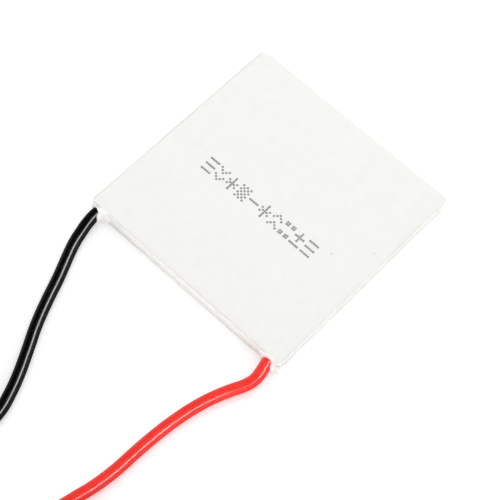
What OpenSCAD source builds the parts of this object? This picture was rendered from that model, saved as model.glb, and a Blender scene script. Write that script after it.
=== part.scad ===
// Thermoelectric cooling module.
// Two ceramic plates hold a square array of thermocouples between them. The pellets stand
// on copper tabs that join them in one series chain, and silicone seals the edge.
// Two insulated leads come out at the corners of one side.
// The hot side lies at Z = 0, the cold side faces +Z, and the leads leave towards -Y.

/* [Ceramic plates] */
// Side of each square plate
plate_side = 40; // [38:0.5:50]
// Thickness of each plate
plate_t = 0.7; // [0.5:0.05:1]
// Length broken off each corner of a plate
corner_break = 0.3; // [0.1:0.1:0.6]

/* [Thermocouple array] */
// Positions along each side of the array, an even number
array_n = 16; // [8:2:18]
// Bare rim from a plate's edge to the first tab
rim = 0.85; // [0.7:0.05:1.2]
// Side of a pellet's square section
pellet_side = 1.6; // [1:0.1:1.8]
// Height of a pellet
pellet_h = 0.9; // [0.8:0.1:2]
// Tab that shows on each side of a pellet
tab_margin = 0.15; // [0.1:0.05:0.3]
// Thickness of a copper tab
tab_t = 0.35; // [0.2:0.05:0.5]
// Length cut off each corner of a tab
tab_corner = 0.25; // [0.1:0.05:0.5]
// Thickness of a solder film
solder_t = 0.05; // [0.03:0.01:0.1]
// Bare copper between a tab's outline and its solder film
solder_margin = 0.1; // [0.05:0.01:0.2]

/* [Edge seal] */
// Gap between the seal's inner face and the tabs
seal_gap = 0.1; // [0.05:0.05:0.3]
// How far the seal's outer face lies behind the plates' edges
seal_recess = 0.1; // [0.05:0.05:0.2]
// Radius of the silicone dab round each lead's root
dab_r = 1.9; // [1.7:0.1:2.2]
// Depth of the dab's centre behind the plates' edges
dab_set = 0.6; // [0.4:0.1:0.8]
// Height left clear below and above the dab
dab_clear = 0.1; // [0.05:0.05:0.3]
// Radial clearance of the silicone round a lead and its strand
seal_fit = 0.02; // [0.01:0.01:0.05]

/* [Leads] */
// Outer diameter of a lead's insulation
lead_d = 2; // [1.6:0.1:2.2]
// Diameter of the tinned strand inside
strand_d = 1; // [0.6:0.1:1.1]
// Bare strand between the plates' edges and the insulation
lead_standoff = 0.5; // [0.3:0.1:0.8]
// Clear strip of pad on each side of a lead's solder joint
joint_margin = 0.1; // [0.05:0.05:0.3]
// Solder under, beside and over a strand on its pad
joint_skin = 0.07; // [0.05:0.01:0.1]
// Length of a lead's stripped and tinned end
strip_length = 6; // [3:1:12]

/* [Lead coils] */
// Radius at the middle of a coil's turns
coil_r = 11; // [10:0.5:14]
// Turns side by side in a coil, and turns on each other
coil_tracks = 2; // [2:1:3]

/* [Hidden] */
$fn = 48;

// the stack, from the hot plate's underside up
film_low = plate_t + tab_t;
pellet_low = film_low + solder_t;
cold_film_low = pellet_low + pellet_h;
cold_tab_low = cold_film_low + solder_t;
cold_plate_low = cold_tab_low + tab_t;
module_h = cold_plate_low + plate_t;
chamber_h = cold_plate_low - plate_t;

// the array: a position is [column, row], and row 0 lies along the leads' side
pad_w = pellet_side + 2 * tab_margin;
pitch = (plate_side - 2 * rim - pad_w) / (array_n - 1);
last = array_n - 1;
function place(cell) = [(cell[0] - last / 2) * pitch, (cell[1] - last / 2) * pitch];

// The chain of pellets climbs the first column, winds through the others and comes down
// the last one. The corner positions at its two ends are left free for the leads.
negative_pad = [0, 0];
positive_pad = [last, 0];
chain = [
    for (column = [0 : last], step = [0 : last])
        let (cell = [column, column % 2 == 1 ? last - step : step])
        if (cell != negative_pad && cell != positive_pad) cell
];
pellets = len(chain);

// where the strands lie on their pads, and where the insulation starts
lead_r = lead_d / 2;
strand_r = strand_d / 2;
strand_z = pellet_low + joint_skin + strand_r;
joint_l = pad_w - 2 * joint_margin;
insulation_y = -plate_side / 2 - lead_standoff;
function pad_of(pole) = place(pole < 0 ? negative_pad : positive_pad);
negative = -1;
positive = 1;

// A lead is drawn with this many sides.
tube_sides = 8;

// Routes of the leads from where the insulation starts. A point gives the way sideways,
// the way outwards, and the share of the strand's height above the ground that is left.
negative_route = [
    [0, 0, 1], [0, -1, 1], [0.1, -2.5, 0.8], [0.3, -4, 0.35],
    [0.8, -6, 0.05], [1.6, -8, 0], [2.5, -10, 0], [3.4, -12, 0],
    [5, -16, 0], [6.8, -20, 0], [9, -24, 0], [11.1, -28, 0],
    [12.2, -30.5, 0], [13.1, -33, 0], [13.5, -36, 0], [13.5, -38, 0]
];
positive_route = [
    [0, 0, 1], [0, -1, 1], [0.3, -2.4, 0.8], [0.4, -3.6, 0.4],
    [0, -5, 0.1], [-0.8, -7, 0], [-1.8, -9.5, 0], [-2.7, -12.5, 0],
    [-3.4, -16, 0], [-3.9, -20, 0], [-4.2, -24, 0], [-4.4, -28, 0],
    [-4.9, -32, 0], [-5.7, -35.5, 0], [-6.3, -38.5, 0], [-6.3, -41, 0]
];
// A lead's tail, from the top of its coil: the way outwards and the share of height left.
tail_route = [[0, 1], [1, 1], [3, 0.85], [5, 0.5], [7, 0.15], [9, 0], [10, 0]];

function lead_path(pole) = [
    for (point = pole < 0 ? negative_route : positive_route) [
        pad_of(pole)[0] + point[0],
        insulation_y + point[1],
        lead_r + (strand_z - lead_r) * point[2]
    ]
];

// the coils: a lead joins its coil's outer turn, and leaves it on top, along straight stubs
bundle = coil_tracks * lead_d;
turn_r = coil_r + bundle / 2 - lead_r;
stub_l = sqrt(pow(turn_r + lead_r, 2) - pow(turn_r - lead_r, 2));
stub_r = lead_r * cos(180 / tube_sides);
top_z = bundle - lead_r;
function path_end(pole) = lead_path(pole)[len(lead_path(pole)) - 1];
function coil_centre(pole) =
    [path_end(pole)[0] + pole * turn_r, path_end(pole)[1] - stub_l, 0];
function tail_path(pole) = [
    for (point = tail_route)
        coil_centre(pole)
            + [pole * turn_r, stub_l + point[0], lead_r + (top_z - lead_r) * point[1]]
];
function tail_end(pole) = tail_path(pole)[len(tail_route) - 1];

// a rectangle about the origin with each corner cut off
module broken_rectangle(width, length, cut) {
    x = width / 2;
    y = length / 2;
    polygon([
        [x - cut, -y], [x, cut - y], [x, y - cut], [x - cut, y],
        [cut - x, y], [-x, y - cut], [-x, cut - y], [cut - x, -y]
    ]);
}

module ceramic_plate() {
    linear_extrude(plate_t)
        broken_rectangle(plate_side, plate_side, corner_break);
}

// places what runs along X over two neighbouring positions
module across(a, b) {
    middle = (place(a) + place(b)) / 2;
    translate([middle[0], middle[1], 0])
        rotate([0, 0, a[0] == b[0] ? 90 : 0])
            children();
}

module tab(a, b) {
    across(a, b)
        linear_extrude(tab_t)
            broken_rectangle(pitch + pad_w, pad_w, tab_corner);
}

module solder_film(a, b) {
    length = pitch + pad_w - 2 * solder_margin;
    width = pad_w - 2 * solder_margin;
    across(a, b)
        translate([-length / 2, -width / 2, 0])
            cube([length, width, solder_t]);
}

// every second pellet of the chain, from the given one on
module pellets_from(first) {
    for (k = [first : 2 : pellets - 1])
        translate([place(chain[k])[0], place(chain[k])[1], pellet_low + pellet_h / 2])
            cube([pellet_side, pellet_side, pellet_h], center = true);
}

module hot_side_plate() {
    color([0.96, 0.955, 0.94])
        ceramic_plate();
}

module cold_side_plate() {
    color([0.96, 0.955, 0.94])
        translate([0, 0, cold_plate_low])
            ceramic_plate();
}

// on the hot side each tab leads from one couple of the chain to the next
module hot_side_tabs() {
    color([0.72, 0.45, 0.2])
        translate([0, 0, plate_t])
            for (k = [1 : 2 : pellets - 3])
                tab(chain[k], chain[k + 1]);
}

module negative_terminal_tab() {
    color([0.72, 0.45, 0.2])
        translate([0, 0, plate_t])
            tab(negative_pad, chain[0]);
}

module positive_terminal_tab() {
    color([0.72, 0.45, 0.2])
        translate([0, 0, plate_t])
            tab(positive_pad, chain[pellets - 1]);
}

// on the cold side each tab bridges the two pellets of one couple
module cold_side_tabs() {
    color([0.72, 0.45, 0.2])
        translate([0, 0, cold_tab_low])
            for (k = [0 : 2 : pellets - 2])
                tab(chain[k], chain[k + 1]);
}

module hot_side_solder() {
    color([0.78, 0.78, 0.76])
        translate([0, 0, film_low]) {
            for (k = [1 : 2 : pellets - 3])
                solder_film(chain[k], chain[k + 1]);
            solder_film(negative_pad, chain[0]);
            solder_film(positive_pad, chain[pellets - 1]);
        }
}

module cold_side_solder() {
    color([0.78, 0.78, 0.76])
        translate([0, 0, cold_film_low])
            for (k = [0 : 2 : pellets - 2])
                solder_film(chain[k], chain[k + 1]);
}

// the current enters at the positive lead through an n-type pellet
module p_type_pellets() {
    color([0.42, 0.43, 0.45])
        pellets_from(0);
}

module n_type_pellets() {
    color([0.34, 0.35, 0.37])
        pellets_from(1);
}

// a rod along Y at a lead's strand, from one Y to a lower one
module lead_rod(pole, from_y, to_y, radius) {
    translate([pad_of(pole)[0], from_y, strand_z])
        rotate([90, 0, 0])
            cylinder(h = from_y - to_y, r = radius);
}

// the silicone frame between the plates, with a passage for each strand
module edge_seal() {
    outer = plate_side - 2 * seal_recess;
    inner = plate_side - 2 * (rim - seal_gap);
    color([0.95, 0.95, 0.93])
        difference() {
            translate([0, 0, plate_t])
                linear_extrude(chamber_h)
                    difference() {
                        broken_rectangle(outer, outer, corner_break);
                        square(inner, center = true);
                    }
            for (pole = [negative, positive])
                lead_rod(pole, pad_of(pole)[1], insulation_y, strand_r + seal_fit);
        }
}

// the silicone dab that fills the seal's recess and grips the start of the insulation
module lead_dab(pole) {
    span = 2 * dab_r;
    color([0.95, 0.95, 0.93])
        difference() {
            intersection() {
                translate([pad_of(pole)[0], dab_set - plate_side / 2, strand_z])
                    sphere(dab_r);
                union() {
                    translate([pad_of(pole)[0] - span, -plate_side / 2 - span, dab_clear])
                        cube([2 * span, span, module_h - 2 * dab_clear]);
                    translate([pad_of(pole)[0] - span, -plate_side / 2 - span, plate_t])
                        cube([2 * span, span + seal_recess, chamber_h]);
                }
            }
            lead_rod(pole, pad_of(pole)[1], insulation_y, strand_r + seal_fit);
            lead_rod(pole, insulation_y, insulation_y - span, lead_r + seal_fit);
        }
}

module negative_lead_dab() {
    lead_dab(negative);
}

module positive_lead_dab() {
    lead_dab(positive);
}

// solder drawn up from the pad's film and right round the strand
module lead_joint(pole) {
    foot = pad_w / 2 - solder_margin;
    wrap = strand_r + joint_skin;
    bevel = wrap * tan(22.5);
    color([0.8, 0.8, 0.78])
        difference() {
            translate([pad_of(pole)[0], pad_of(pole)[1] + joint_l / 2, strand_z])
                rotate([90, 0, 0])
                    linear_extrude(joint_l)
                        polygon([
                            [-foot, -wrap], [foot, -wrap], [wrap, 0], [wrap, bevel],
                            [bevel, wrap], [-bevel, wrap], [-wrap, bevel], [-wrap, 0]
                        ]);
            lead_rod(pole, pad_of(pole)[1] + pad_w, insulation_y, strand_r);
        }
}

module negative_lead_joint() {
    lead_joint(negative);
}

module positive_lead_joint() {
    lead_joint(positive);
}

// the bare strand from its pad, through the seal, to where the insulation starts
module lead_strand(pole) {
    color([0.75, 0.74, 0.72])
        lead_rod(pole, pad_of(pole)[1] + joint_l / 2, insulation_y, strand_r);
}

module negative_lead_strand() {
    lead_strand(negative);
}

module positive_lead_strand() {
    lead_strand(positive);
}

// a many-sided tube along a path that runs near the ground
module lead_tube(path) {
    count = len(path);
    rings = [
        for (i = [0 : count - 1])
            let (
                ahead = path[min(i + 1, count - 1)] - path[max(i - 1, 0)],
                along = ahead / norm(ahead),
                level = cross(along, [0, 0, 1]),
                side = level / norm(level),
                up = cross(side, along)
            )
            for (k = [0 : tube_sides - 1])
                let (turn = 360 * k / tube_sides)
                path[i] + lead_r * (cos(turn) * side + sin(turn) * up)
    ];
    walls = [
        for (i = [0 : count - 2], k = [0 : tube_sides - 1])
            let (a = i * tube_sides + k, b = i * tube_sides + (k + 1) % tube_sides)
            for (face = [[a, b, b + tube_sides], [a, b + tube_sides, a + tube_sides]]) face
    ];
    start = [for (k = [tube_sides - 1 : -1 : 0]) k];
    end = [for (k = [0 : tube_sides - 1]) (count - 1) * tube_sides + k];
    polyhedron(rings, concat([start], walls, [end]));
}

// the lead from the module to its coil, and its tail from the coil to the stripped end
module lead(pole) {
    lead_tube(lead_path(pole));
    lead_tube(tail_path(pole));
}

module negative_lead() {
    color([0.05, 0.05, 0.055])
        lead(negative);
}

module positive_lead() {
    color([0.72, 0.03, 0.03])
        lead(positive);
}

// the outer shape of a coil, whose section just holds the round turns at its corners
module lead_coil(pole) {
    corner = lead_r * (2 - sqrt(2));
    translate(coil_centre(pole)) {
        translate([0, 0, bundle / 2])
            rotate_extrude()
                translate([coil_r, 0])
                    broken_rectangle(bundle, bundle, corner);
        for (stub = [[-pole * turn_r, lead_r], [pole * turn_r, top_z]])
            translate([stub[0], 0, stub[1]])
                rotate([-90, 0, 0])
                    cylinder(h = stub_l, r = stub_r);
    }
}

module negative_lead_coil() {
    color([0.05, 0.05, 0.055])
        lead_coil(negative);
}

module positive_lead_coil() {
    color([0.72, 0.03, 0.03])
        lead_coil(positive);
}

// the stripped and tinned end of a lead
module lead_end(pole) {
    color([0.75, 0.74, 0.72])
        translate(tail_end(pole))
            rotate([-90, 0, 0])
                cylinder(h = strip_length, r = strand_r);
}

module negative_lead_end() {
    lead_end(negative);
}

module positive_lead_end() {
    lead_end(positive);
}

hot_side_plate();
hot_side_tabs();
negative_terminal_tab();
positive_terminal_tab();
hot_side_solder();
p_type_pellets();
n_type_pellets();
cold_side_solder();
cold_side_tabs();
cold_side_plate();
edge_seal();
negative_lead_joint();
positive_lead_joint();
negative_lead_strand();
positive_lead_strand();
negative_lead_dab();
positive_lead_dab();
negative_lead();
positive_lead();
negative_lead_coil();
positive_lead_coil();
negative_lead_end();
positive_lead_end();
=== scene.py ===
import math

import bmesh
import bpy
from mathutils import Matrix, Vector, noise


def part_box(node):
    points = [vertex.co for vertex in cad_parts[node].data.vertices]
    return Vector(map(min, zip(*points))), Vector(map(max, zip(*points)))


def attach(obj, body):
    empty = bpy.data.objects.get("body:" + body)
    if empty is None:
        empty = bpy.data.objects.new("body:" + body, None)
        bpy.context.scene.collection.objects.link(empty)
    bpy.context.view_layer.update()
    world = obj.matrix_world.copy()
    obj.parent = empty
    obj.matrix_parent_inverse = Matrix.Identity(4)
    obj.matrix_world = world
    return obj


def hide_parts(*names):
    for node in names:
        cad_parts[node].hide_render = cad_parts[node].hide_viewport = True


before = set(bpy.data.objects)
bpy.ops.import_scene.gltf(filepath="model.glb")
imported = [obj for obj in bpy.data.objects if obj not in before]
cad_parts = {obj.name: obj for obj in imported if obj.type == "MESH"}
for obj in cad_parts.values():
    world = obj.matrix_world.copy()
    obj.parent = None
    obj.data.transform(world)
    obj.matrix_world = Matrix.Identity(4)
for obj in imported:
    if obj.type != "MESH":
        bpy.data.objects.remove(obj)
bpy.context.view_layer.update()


# Hot side plate and cold side plate. Two square wafers of sintered alumina, scribed by laser
# along one face and snapped apart, so half of each side is grooved and half is bare fracture.
# Their inner faces carry the copper tabs, and nothing is fixed to their outer faces.
MM = 0.001
plate_corner = 0.3 * MM
plate_arris = 0.04 * MM
alumina_light = (0.918, 0.913, 0.889, 1)
alumina_dark = (0.897, 0.891, 0.863, 1)
scribe_and_shade_tone = (0.78, 0.765, 0.73, 1)
arris_and_shade_tone = (0.765, 0.762, 0.745, 1)
speck_tone = (0.40, 0.38, 0.35, 1)
scribe_pitch = 0.16 * MM
scribe_depth = 0.38 * MM
groove_depth = 0.05 * MM
scribe_and_shade_strength = 0.75
# how far a side's own colour reaches behind its face, and a darker band from the outer face
side_skin = 0.02 * MM
arris_band = 0.11 * MM
# the darkened sides: the axis, the band's width in millimetres, and the least and most darkening
dark_arrises = [("X", 0.28, 0.4, 0.9), ("Y", 0.11, 0.05, 0.45)]
# a long shallow chip at the cold plate's far corner: its reach along X and along Y
chip_along, chip_deep = 1.56 * MM, 0.45 * MM
# two grains of dirt fired into the cold face: X, Y and radius in millimetres
specks = [(13.3, -0.5, 0.09), (18.1, 4.3, 0.07)]
cold_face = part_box("cold_side_plate")[1].z


def add(tree, kind, inputs=(), **settings):
    """A shader node with its settings, and its sockets set or linked."""
    node = tree.nodes.new(kind)
    for key, value in settings.items():
        setattr(node, key, value)
    for key, value in dict(inputs).items():
        if isinstance(value, bpy.types.NodeSocket):
            tree.links.new(value, node.inputs[key])
        else:
            node.inputs[key].default_value = value
    return node


def start_finish(name, **sockets):
    """A new material: its node tree, its shader and the object coordinates."""
    material = bpy.data.materials.new(name)
    material.use_nodes = True
    tree = material.node_tree
    shader = tree.nodes["Principled BSDF"]
    for socket, value in sockets.items():
        shader.inputs[socket.replace("_", " ")].default_value = value
    coords = tree.nodes.new("ShaderNodeTexCoord").outputs["Object"]
    return material, tree, shader, coords


def maths(tree, operation, first, second=0.0):
    """One step of arithmetic on values."""
    return add(tree, "ShaderNodeMath", {0: first, 1: second}, operation=operation).outputs[0]


def cloud(tree, coords, scale, detail=3.0, roughness=0.55):
    """A value that drifts over the surface, with that many cycles a metre."""
    inputs = {"Vector": coords, "Scale": scale, "Detail": detail, "Roughness": roughness}
    return add(tree, "ShaderNodeTexNoise", inputs).outputs["Fac"]


def shades(tree, value, stops):
    """Colours along a value: stops is a list of (position, colour)."""
    ramp = add(tree, "ShaderNodeValToRGB", {"Fac": value})
    elements = ramp.color_ramp.elements
    while len(elements) < len(stops):
        elements.new(0.5)
    for element, (position, colour) in zip(elements, stops):
        element.position, element.color = position, colour
    return ramp.outputs["Color"]


def between(tree, value, low, high, start=0.0, end=1.0, **settings):
    """The value's range from start to end, stretched over the range from low to high."""
    inputs = {"Value": value, "From Min": start, "From Max": end, "To Min": low, "To Max": high}
    return add(tree, "ShaderNodeMapRange", inputs, **settings).outputs["Result"]


def blend_tone(tree, factor, first, second):
    """The first colour where the factor is 0, and the second where it is 1."""
    mix = add(tree, "ShaderNodeMix", data_type="RGBA")
    for number, value in ((0, factor), (6, first), (7, second)):
        if isinstance(value, bpy.types.NodeSocket):
            tree.links.new(value, mix.inputs[number])
        else:
            mix.inputs[number].default_value = value
    return mix.outputs[2]


def relief(tree, shader, height, depth, strength=1.0, under=None):
    """A bump of that depth in metres on the shader, over another one if given."""
    inputs = {"Height": height, "Distance": depth, "Strength": strength}
    if under:
        inputs["Normal"] = under
    normal = add(tree, "ShaderNodeBump", inputs).outputs["Normal"]
    tree.links.new(normal, shader.inputs["Normal"])
    return normal


def alumina(name, scribed_low, outer_face, dirt):
    """Fired alumina, scribed from scribed_low up, darker by outer_face, and with its dirt."""
    material, tree, shader, coords = start_finish(name, IOR=1.6, Specular_IOR_Level=0.15)
    mottle = cloud(tree, coords, scale=520, detail=6, roughness=0.75)
    body = shades(tree, mottle, [(0.35, alumina_dark), (0.62, alumina_light)])
    split = add(tree, "ShaderNodeSeparateXYZ", {"Vector": coords}).outputs
    above = maths(tree, "GREATER_THAN", split["Z"], scribed_low)
    below = maths(tree, "LESS_THAN", split["Z"], scribed_low + scribe_depth)
    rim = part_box("cold_side_plate")[1].x - side_skin
    far_x = maths(tree, "GREATER_THAN", maths(tree, "ABSOLUTE", split["X"]), rim)
    far_y = maths(tree, "GREATER_THAN", maths(tree, "ABSOLUTE", split["Y"]), rim)
    far = maths(tree, "MAXIMUM", far_x, far_y)
    scribe_and_shade_band = maths(tree, "MULTIPLY", far, maths(tree, "MULTIPLY", above, below))
    # the scribed half is darker; at the hot plate's foot this is also painted shade
    body = blend_tone(tree, maths(tree, "MULTIPLY", scribe_and_shade_band, scribe_and_shade_strength), body, scribe_and_shade_tone)
    # two outer-face arrises are darker in patches; on the hot plate that is painted contact shade
    offset = maths(tree, "ABSOLUTE", maths(tree, "SUBTRACT", split["Z"], outer_face))
    near_face = maths(tree, "LESS_THAN", offset, arris_band)
    flecks = cloud(tree, coords, scale=130, detail=4, roughness=0.7)
    for axis, band, least, most in dark_arrises:
        outermost = maths(tree, "LESS_THAN", split[axis], band * MM - rim)
        dark_arris = maths(tree, "MULTIPLY", outermost, near_face)
        arris_darkness = between(tree, flecks, least, most, start=0.35, end=0.6)
        body = blend_tone(tree, maths(tree, "MULTIPLY", dark_arris, arris_darkness), body, arris_and_shade_tone)
    for x, y, radius in dirt:
        spot = add(tree, "ShaderNodeVectorMath", {0: coords}, operation="DISTANCE")
        spot.inputs[1].default_value = (x * MM, y * MM, cold_face)
        mask = maths(tree, "LESS_THAN", spot.outputs["Value"], radius * MM)
        body = blend_tone(tree, mask, body, speck_tone)
    tree.links.new(body, shader.inputs["Base Color"])
    tree.links.new(between(tree, mottle, 0.7, 0.85), shader.inputs["Roughness"])
    grit = cloud(tree, coords, scale=6500, detail=4, roughness=0.7)
    grain = relief(tree, shader, grit, depth=0.012 * MM, strength=0.5)
    along = maths(tree, "ADD", split["X"], split["Y"])
    groove = maths(tree, "SINE", maths(tree, "MULTIPLY", along, math.pi / scribe_pitch))
    groove = maths(tree, "MULTIPLY", maths(tree, "ABSOLUTE", groove), scribe_and_shade_band)
    relief(tree, shader, groove, depth=groove_depth, strength=0.8, under=grain)
    return material


def set_piece(bm, name, material, replaced=(), smooth=False):
    """Makes a piece of a bmesh, puts it in the scene and has it stand for CAD nodes."""
    bmesh.ops.recalc_face_normals(bm, faces=bm.faces)
    for face in bm.faces:
        face.smooth = smooth
    mesh = bpy.data.meshes.new(name)
    bm.to_mesh(mesh)
    bm.free()
    mesh.materials.append(material)
    piece = bpy.data.objects.new(name, mesh)
    bpy.context.scene.collection.objects.link(piece)
    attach(piece, "root")
    if replaced:
        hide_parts(*replaced)
    return piece


def block(bm, low, high):
    """A block between two corners."""
    made = bmesh.ops.create_cube(bm, size=1)["verts"]
    bmesh.ops.scale(bm, verts=made, vec=[b - a for a, b in zip(low, high)])
    bmesh.ops.translate(bm, verts=made, vec=[(a + b) / 2 for a, b in zip(low, high)])


def upright_edges(bm):
    """The edges whose ends lie at different heights."""
    least = 0.01 * MM
    return [e for e in bm.edges if abs(e.verts[0].co.z - e.verts[1].co.z) > least]


def break_edges(bm, edges, offset, segments=1):
    """Takes the sharpness off edges, by a flat or a round of that size."""
    bmesh.ops.bevel(
        bm, geom=edges, offset=offset, offset_type="OFFSET", segments=segments,
        profile=0.5, affect="EDGES", material=-1, clamp_overlap=True,
    )


def chip_corner(bm, corner, along, deep):
    """Cuts the corner at the low X and high Y end off, slantwise, and caps the cut."""
    across = Vector((-deep, along, 0)).normalized()
    parts = list(bm.verts) + list(bm.edges) + list(bm.faces)
    start = corner + Vector((along, 0, 0))
    cut = bmesh.ops.bisect_plane(
        bm, geom=parts, plane_co=start, plane_no=across, clear_outer=True,
    )
    opening = [e for e in cut["geom_cut"] if isinstance(e, bmesh.types.BMEdge)]
    bmesh.ops.edgeloop_fill(bm, edges=opening)


for node, name, dirt in (
    ("hot_side_plate", "hot_plate_ceramic", []),
    ("cold_side_plate", "cold_plate_ceramic", specks),
):
    low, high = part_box(node)
    wafer = bmesh.new()
    block(wafer, low, high)
    if node == "cold_side_plate":
        chip_corner(wafer, Vector((low.x, high.y, 0)), chip_along, chip_deep)
    break_edges(wafer, upright_edges(wafer), plate_corner)
    break_edges(wafer, list(wafer.edges), plate_arris, 2)
    # the hot plate is scribed from its foot, whose darker tone is also painted contact shade
    scribed_low = low.z if node == "hot_side_plate" else high.z - scribe_depth
    outer = low.z if node == "hot_side_plate" else high.z
    ceramic = alumina(name + "_alumina", scribed_low, outer, dirt)
    set_piece(wafer, name, ceramic, [node])


# Copper tabs. Strips of bare rolled copper, bonded to the inner face of each plate, join the
# pellets in series. The two terminal tabs at the ends of the chain take the leads. The CAD
# solids have the real shape, so they stay and get their metal here.
def dress(node, material):
    """Gives a CAD node its finish."""
    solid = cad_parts[node]
    solid.data.materials.clear()
    solid.data.materials.append(material)


def rolled_copper():
    """Bare copper with a brown bloom, and fine lines along the way that it was rolled."""
    material, tree, shader, coords = start_finish("rolled_copper", Metallic=1.0)
    bloom = cloud(tree, coords, scale=520, detail=5, roughness=0.65)
    fresh, dull = (0.83, 0.43, 0.26, 1), (0.58, 0.27, 0.15, 1)
    tone = shades(tree, bloom, [(0.36, dull), (0.55, fresh)])
    tree.links.new(tone, shader.inputs["Base Color"])
    stretch = add(tree, "ShaderNodeMapping", {"Vector": coords, "Scale": (1, 14, 14)})
    lines = cloud(tree, stretch.outputs["Vector"], scale=900)
    tree.links.new(between(tree, lines, 0.24, 0.46), shader.inputs["Roughness"])
    relief(tree, shader, lines, depth=0.01 * MM, strength=0.6)
    return material


copper = rolled_copper()
for node in (
    "hot_side_tabs", "negative_terminal_tab", "positive_terminal_tab", "cold_side_tabs",
):
    dress(node, copper)


# Solder. A reflowed film lies between each pellet and its tab, and a drawn-up fillet holds
# each lead's strand on its terminal tab. It is soft solder, satin, and greyer in places where
# flux has dried on it.
def reflowed_solder():
    """Soft solder with its crystal grains, and dried flux in places."""
    material, tree, shader, coords = start_finish("reflowed_solder", Metallic=1.0)
    grains = add(tree, "ShaderNodeTexVoronoi", {"Vector": coords, "Scale": 3800.0})
    flux = cloud(tree, coords, scale=1300, detail=4, roughness=0.6)
    clean, dried = (0.74, 0.74, 0.73, 1), (0.50, 0.48, 0.43, 1)
    tone = shades(tree, flux, [(0.38, dried), (0.52, clean)])
    tree.links.new(tone, shader.inputs["Base Color"])
    tree.links.new(between(tree, flux, 0.48, 0.26), shader.inputs["Roughness"])
    relief(tree, shader, grains.outputs["Distance"], depth=0.01 * MM, strength=0.7)
    return material


solder = reflowed_solder()
for node in (
    "hot_side_solder", "cold_side_solder", "negative_lead_joint", "positive_lead_joint",
):
    dress(node, solder)


# Pellets. Small blocks sawn from ingots of bismuth telluride alloy, p-type and n-type in turn
# along the chain. The crystal splits in layers, which show as fine streaks up the sawn sides
# under a dull grey shine. The CAD solids stay.
p_light, p_dark = (0.40, 0.41, 0.44, 1), (0.22, 0.22, 0.24, 1)
n_light, n_dark = (0.32, 0.33, 0.36, 1), (0.15, 0.15, 0.17, 1)


def bismuth_telluride(name, light, dark):
    """A dull grey alloy with upright streaks of its layers, and level marks of the saw."""
    material, tree, shader, coords = start_finish(name, Metallic=0.85)
    layers = add(tree, "ShaderNodeMapping", {"Vector": coords, "Scale": (9, 9, 1)})
    streaks = cloud(tree, layers.outputs["Vector"], scale=700, detail=4, roughness=0.6)
    tone = shades(tree, streaks, [(0.3, dark), (0.66, light)])
    tree.links.new(tone, shader.inputs["Base Color"])
    sawn = add(tree, "ShaderNodeMapping", {"Vector": coords, "Scale": (1, 1, 16)})
    marks = cloud(tree, sawn.outputs["Vector"], scale=1100, detail=2)
    tree.links.new(between(tree, marks, 0.38, 0.6), shader.inputs["Roughness"])
    layered = relief(tree, shader, streaks, depth=0.012 * MM, strength=0.6)
    relief(tree, shader, marks, depth=0.008 * MM, strength=0.5, under=layered)
    return material


dress("p_type_pellets", bismuth_telluride("p_type_alloy", p_light, p_dark))
dress("n_type_pellets", bismuth_telluride("n_type_alloy", n_light, n_dark))


# Strands. Seven tinned copper wires twisted together run inside each lead. They show where a
# lead is stripped: from its terminal tab out to the insulation, and at its far end, where
# they are dipped in solder.
strand_lay = 9 * MM
strand_step = 0.35 * MM
# each wire's share of the radius that would make it touch its neighbours
wire_share = 0.98
poles = ((-1, "negative"), (1, "positive"))


def tinned_copper():
    """Tinned copper, with the copper showing through in places."""
    material, tree, shader, coords = start_finish("tinned_copper", Metallic=1.0)
    patches = cloud(tree, coords, scale=1400, detail=4, roughness=0.6)
    tin, bare = (0.76, 0.755, 0.73, 1), (0.60, 0.52, 0.44, 1)
    tone = shades(tree, patches, [(0.3, bare), (0.42, tin)])
    tree.links.new(tone, shader.inputs["Base Color"])
    tree.links.new(between(tree, patches, 0.42, 0.22), shader.inputs["Roughness"])
    relief(tree, shader, cloud(tree, coords, scale=4200), depth=0.01 * MM, strength=0.5)
    return material


def twisted_strand(low, high):
    """Six wires twisted round a seventh, filling the box between two corners."""
    length, radius = high.y - low.y, (high.x - low.x) / 2
    axis = Vector(((low.x + high.x) / 2, low.y, (low.z + high.z) / 2))
    wire = radius / 3
    steps = max(2, round(length / strand_step))
    upright = Matrix.Rotation(math.pi / 2, 4, "X")
    rope = bmesh.new()
    for number in range(7):
        swing = math.tau * number / 6
        aside = Vector((math.cos(swing), 0, math.sin(swing))) * (2 * wire if number < 6 else 0)
        ring = bmesh.ops.create_circle(
            rope, segments=8, radius=wire * wire_share,
            matrix=Matrix.Translation(axis + aside) @ upright,
        )["verts"]
        edges = list({e for v in ring for e in v.link_edges})
        bmesh.ops.spin(
            rope, geom=ring + edges, cent=axis, axis=(0, 1, 0),
            dvec=(0, length / steps, 0), angle=math.tau * length / strand_lay, steps=steps,
        )
    bmesh.ops.holes_fill(rope, edges=[e for e in rope.edges if e.is_boundary], sides=0)
    return rope


tinned = tinned_copper()
for _, which in poles:
    for part, name in (("strand", "root_strand"), ("end", "stripped_end")):
        node = which + "_lead_" + part
        rope = twisted_strand(*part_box(node))
        piece = set_piece(rope, which + "_" + name, tinned, [node], smooth=True)


# Leads. Each is a tinned copper strand in glossy soft PVC of 2 mm, black for the negative
# pole and red for the positive. It comes out level at its corner, drops to the ground, runs
# off in a lazy bend, and its spare length lies in a coil with the stripped end beside it.
lead_radius = 1.0 * MM
strand_height = 1.67 * MM
root = Vector((18.2 * MM, -20.5 * MM, 0))
# the root's way out from the plates' edge, at which the lead leaves the module
# the soft insulation is pressed in a little nearer than the CAD solid's end
root_push = 0.1 * MM
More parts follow.
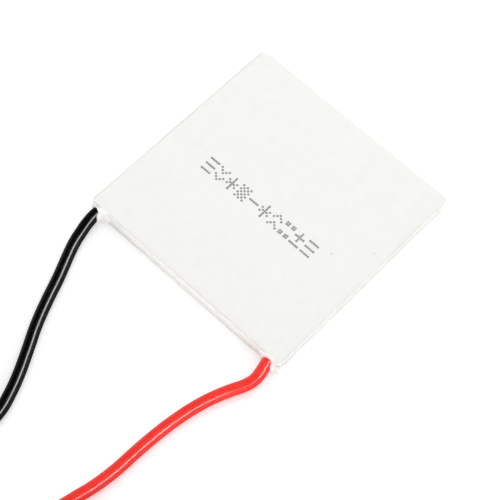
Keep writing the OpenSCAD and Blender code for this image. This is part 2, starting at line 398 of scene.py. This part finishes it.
# millimetres sideways and outwards from the root, and the share of its height that is left
ground_runs = {
    -1: [
        (0, 0, 1), (0.03, -1, 1), (0.2, -2.5, 0.8), (0.48, -4, 0.35), (1, -6, 0.05),
        (1.8, -8, 0), (2.7, -10, 0), (3.6, -12, 0), (5.2, -16, 0), (7, -20, 0),
        (9.18, -24, 0), (11.25, -28, 0), (12.3, -30.5, 0), (13.15, -33, 0), (13.5, -36, 0),
        (13.5, -38, 0),
    ],
    1: [
        (0, 0, 1), (0.25, -1, 1), (0.5, -2.3, 0.8), (0.5, -3.5, 0.4), (0.05, -5, 0.1),
        (-0.9, -7, 0), (-1.93, -9.5, 0), (-2.84, -12.5, 0), (-3.54, -16, 0), (-4.02, -20, 0),
        (-4.27, -24, 0), (-4.4, -28, 0), (-4.9, -32, 0), (-5.7, -35.5, 0), (-6.3, -38.5, 0),
        (-6.3, -41, 0),
    ],
}
# the radii of the coil's two tracks and the heights of its two layers, in millimetres
outer_track, inner_track = 12, 10
low_layer, top_layer = 1, 3
# the straight stub over which the lead gets clear of the coil's outer turn
coil_stub = math.sqrt(((outer_track + 1) * MM) ** 2 - ((outer_track - 1) * MM) ** 2)
coil_turns = 3.5
points_a_turn = 16
# turns wound so far, then radius and height at the middle of the lead in millimetres
winding = [
    (0, outer_track, low_layer), (0.82, outer_track, low_layer), (1, inner_track, low_layer),
    (1.65, inner_track, low_layer), (1.82, inner_track, top_layer), (2.5, inner_track, top_layer),
    (2.68, outer_track, top_layer), (coil_turns, outer_track, top_layer),
]
# the tail past the coil: millimetres outwards, and the share of the height that is left
tail_fall = [(0, 1), (1, 1), (3, 0.85), (5, 0.5), (7, 0.15), (9, 0), (10, 0)]


def wound(turns):
    """(radius, height) of the lead in its coil after that many turns."""
    for (t0, r0, z0), (t1, r1, z1) in zip(winding, winding[1:]):
        if turns <= t1:
            ease = (1 - math.cos(math.pi * (turns - t0) / (t1 - t0))) / 2
            return (r0 + (r1 - r0) * ease) * MM, (z0 + (z1 - z0) * ease) * MM
    return outer_track * MM, top_layer * MM


def lead_route(pole):
    """The lead's centreline, from its root to where it is stripped."""
    line = []
    for sideways, outwards, share in ground_runs[pole]:
        height = lead_radius + (strand_height - lead_radius) * share
        line.append(Vector((pole * root.x + sideways * MM, root.y + outwards * MM, height)))
    line[0].y += root_push
    centre = line[-1] + Vector((pole * outer_track * MM, -coil_stub, 0))
    for step in range(round(coil_turns * points_a_turn) + 1):
        turns = step / points_a_turn
        radius, height = wound(turns)
        turn = math.tau * turns - math.pi if pole > 0 else -math.tau * turns
        spot = centre + Vector((math.cos(turn) * radius, math.sin(turn) * radius, 0))
        line.append(Vector((spot.x, spot.y, height)))
    end = line[-1]
    for outwards, share in tail_fall:
        height = lead_radius + (end.z - lead_radius) * share
        line.append(Vector((end.x, end.y + coil_stub + outwards * MM, height)))
    return line


def soft_pvc(name, tone, deep, gloss, ior):
    """Soft PVC as it comes off the extruder: glossy, with faint ripples and dull patches."""
    material, tree, shader, coords = start_finish(name, IOR=ior)
    drift = cloud(tree, coords, scale=420, detail=4, roughness=0.6)
    tree.links.new(shades(tree, drift, [(0.3, deep), (0.7, tone)]), shader.inputs["Base Color"])
    handled = cloud(tree, coords, scale=1500, roughness=0.6)
    tree.links.new(between(tree, handled, gloss - 0.05, gloss + 0.09), shader.inputs["Roughness"])
    ripple = cloud(tree, coords, scale=450, detail=2, roughness=0.4)
    relief(tree, shader, ripple, depth=0.03 * MM, strength=0.3)
    return material


black_tone, black_deep = (0.0024, 0.0024, 0.0032, 1), (0.0012, 0.0012, 0.0018, 1)
red_tone, red_deep = (0.96, 0.036, 0.026, 1), (0.90, 0.028, 0.020, 1)
insulation = {
    -1: soft_pvc("black_pvc", black_tone, black_deep, gloss=0.21, ior=1.34),
    1: soft_pvc("red_pvc", red_tone, red_deep, gloss=0.27, ior=1.48),
}
for pole, which in poles:
    line = lead_route(pole)
    curve = bpy.data.curves.new(which + "_lead_wire", "CURVE")
    curve.dimensions = "3D"
    curve.resolution_u = 5
    curve.bevel_depth = lead_radius
    curve.bevel_resolution = 6
    curve.use_fill_caps = True
    spline = curve.splines.new("BEZIER")
    spline.bezier_points.add(len(line) - 1)
    for point, place in zip(spline.bezier_points, line):
        point.co = place
        point.handle_left_type = point.handle_right_type = "AUTO"
    curve.materials.append(insulation[pole])
    lead = bpy.data.objects.new(which + "_lead_wire", curve)
    bpy.context.scene.collection.objects.link(lead)
    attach(lead, "root")
    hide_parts(which + "_lead", which + "_lead_coil")


# Edge seal. White silicone is run into the gap round the array once it is soldered, and keeps
# damp out. Its outer face swells to just behind the plates' edges, and waves where the nozzle
# moved unevenly. Each strand passes through it near a corner of the leads' side.
seal_wall = 0.62 * MM
seal_swell = 0.06 * MM
seal_wave = 0.05 * MM
# cuts along each side and up its height, so that the face can swell and wave
cuts_along, cuts_up = 90, 5
strand_pass = 0.45 * MM
crease = math.radians(50)
silicone_tone = (0.945, 0.943, 0.93, 1)
silicone_shade = (0.90, 0.897, 0.88, 1)


def white_silicone():
    """White silicone with a satin skin, a little duller where it was touched."""
    material, tree, shader, coords = start_finish(
        "white_silicone", IOR=1.41, Specular_IOR_Level=0.35,
    )
    skin = cloud(tree, coords, scale=700, detail=4, roughness=0.6)
    tone = shades(tree, skin, [(0.34, silicone_shade), (0.6, silicone_tone)])
    tree.links.new(tone, shader.inputs["Base Color"])
    tree.links.new(between(tree, skin, 0.5, 0.34), shader.inputs["Roughness"])
    dimples = cloud(tree, coords, scale=1800, roughness=0.6)
    relief(tree, shader, dimples, depth=0.05 * MM, strength=0.5)
    return material


def trim_flaps(mesh):
    """Takes away the slivers that a cut leaves loose, and keeps the largest skin."""
    bm = bmesh.new()
    bm.from_mesh(mesh)
    bmesh.ops.triangulate(bm, faces=bm.faces)
    untouched, skins = set(bm.faces), []
    while untouched:
        skin, edge_of_skin = set(), [untouched.pop()]
        while edge_of_skin:
            face = edge_of_skin.pop()
            skin.add(face)
            near = {f for e in face.edges for f in e.link_faces} & untouched
            untouched -= near
            edge_of_skin += near
        skins.append(skin)
    loose = set(bm.faces) - max(skins, key=len)
    bmesh.ops.delete(bm, geom=list(loose), context="FACES")
    bm.to_mesh(mesh)
    bm.free()


def bored(shell, name, *tools):
    """Cuts the tools' solids out of a piece, and settles its modifiers in a new mesh."""
    for tool in tools:
        cut = shell.modifiers.new(tool.name, "BOOLEAN")
        cut.operation, cut.solver, cut.object = "DIFFERENCE", "EXACT", tool
    dressed = shell.evaluated_get(bpy.context.evaluated_depsgraph_get())
    mesh = bpy.data.meshes.new_from_object(dressed)
    shell.modifiers.clear()
    shell.data = mesh
    mesh.name = name
    for tool in tools:
        bpy.data.objects.remove(tool)
    trim_flaps(mesh)


def cutter(bm, name):
    """A solid that only cuts, and is taken away again."""
    bmesh.ops.recalc_face_normals(bm, faces=bm.faces)
    mesh = bpy.data.meshes.new(name)
    bm.to_mesh(mesh)
    bm.free()
    tool = bpy.data.objects.new(name, mesh)
    bpy.context.scene.collection.objects.link(tool)
    return tool


def unevenness(place, coarse, fine, share):
    """A value near nought that drifts from place to place, in coarse waves and finer ones."""
    return noise.noise(place * coarse) + share * noise.noise(place * fine)


def rod_cutter(name, x, near_y, far_y, radius):
    """A round cutter along Y, at the height of the strands."""
    rod = bmesh.new()
    place = Matrix.Translation((x, (near_y + far_y) / 2, strand_height))
    bmesh.ops.create_cone(
        rod, cap_ends=True, segments=32, radius1=radius, radius2=radius,
        depth=abs(far_y - near_y), matrix=place @ Matrix.Rotation(math.pi / 2, 4, "X"),
    )
    return cutter(rod, name)


low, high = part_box("edge_seal")
wall = bmesh.new()
block(wall, low, high)
break_edges(wall, upright_edges(wall), plate_corner)
caps = [f for f in wall.faces if abs(f.normal.z) > 0.5]
bmesh.ops.delete(wall, geom=caps, context="FACES_ONLY")
long_edges = [e for e in wall.edges if e.calc_length() > 10 * MM]
bmesh.ops.subdivide_edges(wall, edges=long_edges, cuts=cuts_along, use_grid_fill=True)
bmesh.ops.subdivide_edges(wall, edges=upright_edges(wall), cuts=cuts_up, use_grid_fill=True)
middle, half = (low.z + high.z) / 2, (high.z - low.z) / 2
for corner in wall.verts:
    rise = (corner.co.z - middle) / half
    ripple = unevenness(corner.co, coarse=180, fine=620, share=0.6)
    sunk = seal_wave * abs(ripple) - seal_swell * (1 - rise * rise)
    # a straight side moves square to itself, and a broken corner slantwise
    outward = Vector((corner.co.x, corner.co.y, 0))
    if abs(outward.x) < high.x - plate_corner * 1.01:
        outward.x = 0
    if abs(outward.y) < high.y - plate_corner * 1.01:
        outward.y = 0
    corner.co -= outward.normalized() * sunk
bmesh.ops.recalc_face_normals(wall, faces=wall.faces)
bmesh.ops.solidify(wall, geom=list(wall.faces), thickness=seal_wall)
silicone = white_silicone()
seal = set_piece(wall, "silicone_seal", silicone, ["edge_seal"], smooth=True)
bored(seal, "silicone_seal", *(
    rod_cutter(which + "_pass", pole * root.x, low.y - MM, low.y + MM, strand_pass)
    for pole, which in poles
))
seal.data.set_sharp_from_angle(angle=crease)


# Silicone dabs. A dab is pushed in round each lead's root once the seal has set. It holds the
# end of the insulation, creeps a little over the cold plate's edge, and sets in soft lumps.
# Each lump is a centre and radii in millimetres, from the root at the plates' edge.
dab_grain = 0.1 * MM
dab_drift = 0.05 * MM
# the insulation's end, out from the plates' edge, and the radii of the holes in a dab
root_reach = 0.4 * MM
strand_hole, lead_hole = 0.5 * MM, 0.99 * MM
# a dab ends a little above the ground, below which all of it is cut away
ground_clear = 0.05 * MM
dab_lumps = {
    -1: [
        ((0.1, -0.10, 1.60), (1.35, 0.50, 1.20)), ((0.80, -0.75, 1.55), (0.62, 0.95, 1.12)),
        ((1.15, -0.02, 2.80), (1.15, 0.34, 0.42)), ((0.7, -0.25, 0.55), (1.5, 0.5, 0.5)),
        ((1.9, -0.08, 1.7), (0.9, 0.28, 0.8)), ((-0.95, -0.1, 1.7), (0.75, 0.33, 1.25)),
        ((0.4, -0.25, 2.45), (0.7, 0.48, 0.45)),
    ],
    1: [
        ((0.1, -0.10, 1.60), (1.35, 0.50, 1.20)), ((0.98, -0.55, 1.40), (0.52, 0.85, 1.1)),
        ((1.35, -0.30, 0.75), (0.75, 0.62, 0.62)), ((-1.35, -0.08, 2.2), (0.95, 0.40, 0.62)),
        ((0.2, -0.02, 2.85), (1.25, 0.30, 0.36)), ((-1.2, -0.12, 0.9), (0.8, 0.4, 0.7)),
        ((1.65, -0.22, 0.9), (0.7, 0.52, 0.85)), ((1.88, 0.45, 0.75), (0.32, 0.75, 0.7)),
    ],
}


def soft_lump(name, lumps, foot):
    """One closed skin over overlapping lumps, smoothed and a little uneven."""
    heap = bmesh.new()
    for middle, radii in lumps:
        ball = bmesh.ops.create_icosphere(heap, subdivisions=3, radius=MM)["verts"]
        bmesh.ops.scale(heap, verts=ball, vec=radii)
        bmesh.ops.translate(heap, verts=ball, vec=foot + Vector(middle) * MM)
    lump = cutter(heap, name)
    skin = lump.modifiers.new("skin", "REMESH")
    skin.mode, skin.voxel_size, skin.use_smooth_shade = "VOXEL", dab_grain, True
    ease = lump.modifiers.new("ease", "SMOOTH")
    ease.factor, ease.iterations = 0.6, 8
    bored(lump, name)
    for corner in lump.data.vertices:
        drift = unevenness(corner.co, coarse=900, fine=2300, share=0.5)
        corner.co += corner.normal * drift * dab_drift
    return lump


for pole, which in poles:
    foot = Vector((pole * root.x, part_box("cold_side_plate")[0].y, 0))
    dab = soft_lump(which + "_root_dab", dab_lumps[pole], foot)
    tools = []
    for node in ("hot_side_plate", "cold_side_plate"):
        solid = bmesh.new()
        block(solid, *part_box(node))
        tools.append(cutter(solid, node + "_space"))
    ground = bmesh.new()
    block(ground, (-0.1, -0.1, -0.01), (0.1, 0.1, ground_clear))
    tools.append(cutter(ground, "ground_space"))
    inside, outside = foot.y + 2 * MM, foot.y - 4 * MM
    tools.append(rod_cutter("strand_space", foot.x, inside, foot.y - MM, strand_hole))
    tools.append(rod_cutter("lead_space", foot.x, foot.y - root_reach, outside, lead_hole))
    bored(dab, which + "_root_dab", *tools)
    dab.data.materials.clear()
    dab.data.materials.append(silicone)
    dab.data.set_sharp_from_angle(angle=crease)
    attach(dab, "root")
    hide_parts(which + "_lead_dab")


# Printed marks. An ink-jet line of dot marks runs along the middle of the cold face, in grey
# ink that lies on the ceramic as separate dots. Its marks are plain bars, chevrons and stars.
ink_dot = 0.215 * MM
ink_film = 0.004 * MM
# how far a dot may stray, the share by which its size varies, and its top's share of its foot
dot_stray = 0.025 * MM
dot_spread = 0.1
dot_crown = 0.85
dot_pitch = 0.39 * MM
mark_pitch = 2.36 * MM
marks_start = Vector((-11.75 * MM, -1.16 * MM, 0))
ink_tone, ink_thin = (0.22, 0.22, 0.22, 1), (0.33, 0.33, 0.32, 1)
# rows of each mark from the top down; a letter x is a dot
mark_rows = [
    "xxxxx|.....|.....|xxxxx|.....|.....|xxxxx",
    "x...x|.x.x.|..x..|.....|x...x|.x.x.|..x..",
    "..x..|..x..|x.x.x|.xxx.|x.x.x|..x..|..x..",
    "x.x.x|.x.x.|x.x.x|.x.x.|x.x.x|.x.x.|x.x.x",
    ".....|.....|.....|xxxxx|.....|.....|.....",
    "..x..|..x..|x.x.x|.xxx.|x.x.x|..x..|..x..",
    "..x..|.x.x.|x...x|.....|..x..|.x.x.|x...x",
    "xx.xx|xx.xx|.....|.....|.....|xx.xx|xx.xx",
    "..x..|..x..|xxxxx|..x..|..x..|.....|xxxxx",
    "xxxxx|.....|.....|xxxxx|.....|.....|xxxxx",
]


def jet_ink():
    """Dull grey ink, thinner where the ceramic has soaked it up."""
    material, tree, shader, coords = start_finish("grey_ink", Roughness=0.6)
    soak = cloud(tree, coords, scale=2600, roughness=0.6)
    tone = shades(tree, soak, [(0.35, ink_tone), (0.65, ink_thin)])
    tree.links.new(tone, shader.inputs["Base Color"])
    grit = cloud(tree, coords, scale=9000, detail=2)
    relief(tree, shader, grit, depth=0.002 * MM, strength=0.3)
    return material


dots = bmesh.new()
for number, rows in enumerate(mark_rows):
    for row, line in enumerate(rows.split("|")):
        for column, kind in enumerate(line):
            if kind != "x":
                continue
            across = number * mark_pitch + column * dot_pitch
            spot = marks_start + Vector((across, -row * dot_pitch, 0))
            stray = Vector((noise.noise(spot * 4000), noise.noise(spot * 5500), 0)) * dot_stray
            size = ink_dot * (1 + dot_spread * noise.noise(spot * 7000))
            place = (spot.x + stray.x, spot.y + stray.y, cold_face + ink_film / 2)
            bmesh.ops.create_cone(
                dots, cap_ends=True, segments=10, radius1=size, radius2=size * dot_crown,
                depth=ink_film, matrix=Matrix.Translation(place),
            )
marks = set_piece(dots, "ink_marks", jet_ink())


# Floor. A plain board, painted a pale grey, lies under the module and is no part of it. Gloss
# shows it dim, so that the edges of the black lead stay dark.
floor_reach = 3
floor_drop = 0.03 * MM
board_dull, board_pale = (0.86, 0.86, 0.86, 1), (0.88, 0.88, 0.88, 1)
board_in_gloss = (0.3, 0.3, 0.3, 1)
board_lift = 0.33

board = bmesh.new()
bmesh.ops.create_grid(board, x_segments=1, y_segments=1, size=floor_reach)
bmesh.ops.translate(board, verts=board.verts, vec=(0, 0, -floor_drop))
board_mesh = bpy.data.meshes.new("floor_board")
board.to_mesh(board_mesh)
board.free()
floor = bpy.data.objects.new("floor_board", board_mesh)
bpy.context.scene.collection.objects.link(floor)
paper, tree, shader, coords = start_finish("white_board", Roughness=0.9)
shader.inputs["Specular IOR Level"].default_value = 0.0
fibre = cloud(tree, coords, scale=40, detail=4)
tone = shades(tree, fibre, [(0.3, board_dull), (0.7, board_pale)])
ray = tree.nodes.new("ShaderNodeLightPath").outputs
tone = blend_tone(tree, ray["Is Glossy Ray"], tone, board_in_gloss)
tree.links.new(tone, shader.inputs["Base Color"])
seen = maths(tree, "MAXIMUM", ray["Is Camera Ray"], ray["Is Transmission Ray"])
shader.inputs["Emission Color"].default_value = (1, 1, 1, 1)
tree.links.new(maths(tree, "MULTIPLY", seen, board_lift), shader.inputs["Emission Strength"])
floor.data.materials.append(paper)


# Light. A soft box stands high behind the module, and a pale room gives the rest. The room
# lights the sides of things by its walls, most from the front, and shows in gloss as pale
# walls, a dim ceiling and one long strip of light high on the far side.
key_direction, key_distance = (-0.15, 0.5, 0.85), 0.7
key_side, key_power = 0.6, 2.25
gloss_walls, gloss_ceiling, gloss_strip = (1, 1, 1, 1), (0.035, 0.035, 0.035, 1), (33, 33, 33, 1)
strip_way, strip_start, strip_full = (0.69, 0.72, 0), 0.36, 0.5
lit_walls, lit_ceiling = (1.18, 1.18, 1.18, 1), (0.24, 0.24, 0.24, 1)
front_way, front_share, room_level = (0.25, -0.97, 0), 0.89, 2.24
black, white = (0, 0, 0, 1), (1, 1, 1, 1)

lamp = bpy.data.lights.new("key_box", "AREA")
lamp.shape, lamp.size, lamp.energy = "SQUARE", key_side, key_power
key_box = bpy.data.objects.new("key_box", lamp)
bpy.context.scene.collection.objects.link(key_box)
away = Vector(key_direction).normalized()
key_box.location = away * key_distance
key_box.rotation_euler = away.to_track_quat("Z", "Y").to_euler()
key_box.visible_glossy = False

world = bpy.data.worlds.new("pale_room")
bpy.context.scene.world = world
world.use_nodes = True
tree = world.node_tree
tree.nodes.clear()
sky = tree.nodes.new("ShaderNodeTexCoord").outputs["Generated"]
rise = maths(tree, "ABSOLUTE", add(tree, "ShaderNodeSeparateXYZ", {"Vector": sky}).outputs["Z"])


def towards(way):
    """How far each direction of the room leans that way, from -1 to 1."""
    lean = add(tree, "ShaderNodeVectorMath", {0: sky, 1: way}, operation="DOT_PRODUCT")
    return lean.outputs["Value"]


mirrored = shades(tree, rise, [(0.0, gloss_walls), (0.12, gloss_walls), (0.3, gloss_ceiling)])
strip = shades(tree, rise, [(0.58, black), (0.66, white), (0.75, white), (0.83, black)])
ends = between(
    tree, towards(strip_way), 0.0, 1.0, start=strip_start, end=strip_full,
    interpolation_type="SMOOTHSTEP",
)
mirrored = blend_tone(tree, maths(tree, "MULTIPLY", strip, ends), mirrored, gloss_strip)
lit = shades(tree, rise, [(0.0, lit_walls), (0.18, lit_walls), (0.34, lit_ceiling)])
strength = maths(tree, "MULTIPLY", towards(front_way), front_share)
strength = maths(tree, "ADD", strength, room_level)
lit = add(tree, "ShaderNodeVectorMath", {0: lit, "Scale": strength}, operation="SCALE")
ray = tree.nodes.new("ShaderNodeLightPath").outputs
seen = maths(tree, "MAXIMUM", ray["Is Camera Ray"], ray["Is Transmission Ray"])
tone = blend_tone(tree, ray["Is Glossy Ray"], lit.outputs["Vector"], mirrored)
tone = blend_tone(tree, seen, tone, white)
shown = add(tree, "ShaderNodeBackground", {"Color": tone, "Strength": 1.0})
out = tree.nodes.new("ShaderNodeOutputWorld")
tree.links.new(shown.outputs["Background"], out.inputs["Surface"])


# Camera. It looks down on the cold face over the leads' side, from the right and a little
# tilted, through a long lens.
azimuth, elevation, roll = (math.radians(a) for a in (35.285, 62.591, 8.479))
sensor_width, focal_length = 36, 119.95
view_distance, view_right, view_up = 266.462 * MM, -3.097 * MM, -6.669 * MM
back = Vector((
    math.sin(azimuth) * math.cos(elevation),
    -math.cos(azimuth) * math.cos(elevation),
    math.sin(elevation),
))
horizon = Vector((math.cos(azimuth), math.sin(azimuth), 0))
upward = back.cross(horizon)
right = horizon * math.cos(roll) + upward * math.sin(roll)
up = upward * math.cos(roll) - horizon * math.sin(roll)
lens = bpy.data.cameras.new("camera")
lens.sensor_width, lens.lens = sensor_width, focal_length
lens.clip_start, lens.clip_end = 0.01, 20
camera = bpy.data.objects.new("camera", lens)
bpy.context.scene.collection.objects.link(camera)
place = back * view_distance + right * view_right + up * view_up
camera.matrix_world = Matrix((
    (right.x, up.x, back.x, place.x),
    (right.y, up.y, back.y, place.y),
    (right.z, up.z, back.z, place.z),
    (0, 0, 0, 1),
))
bpy.context.scene.camera = camera
bpy.context.scene.view_settings.view_transform = "Standard"
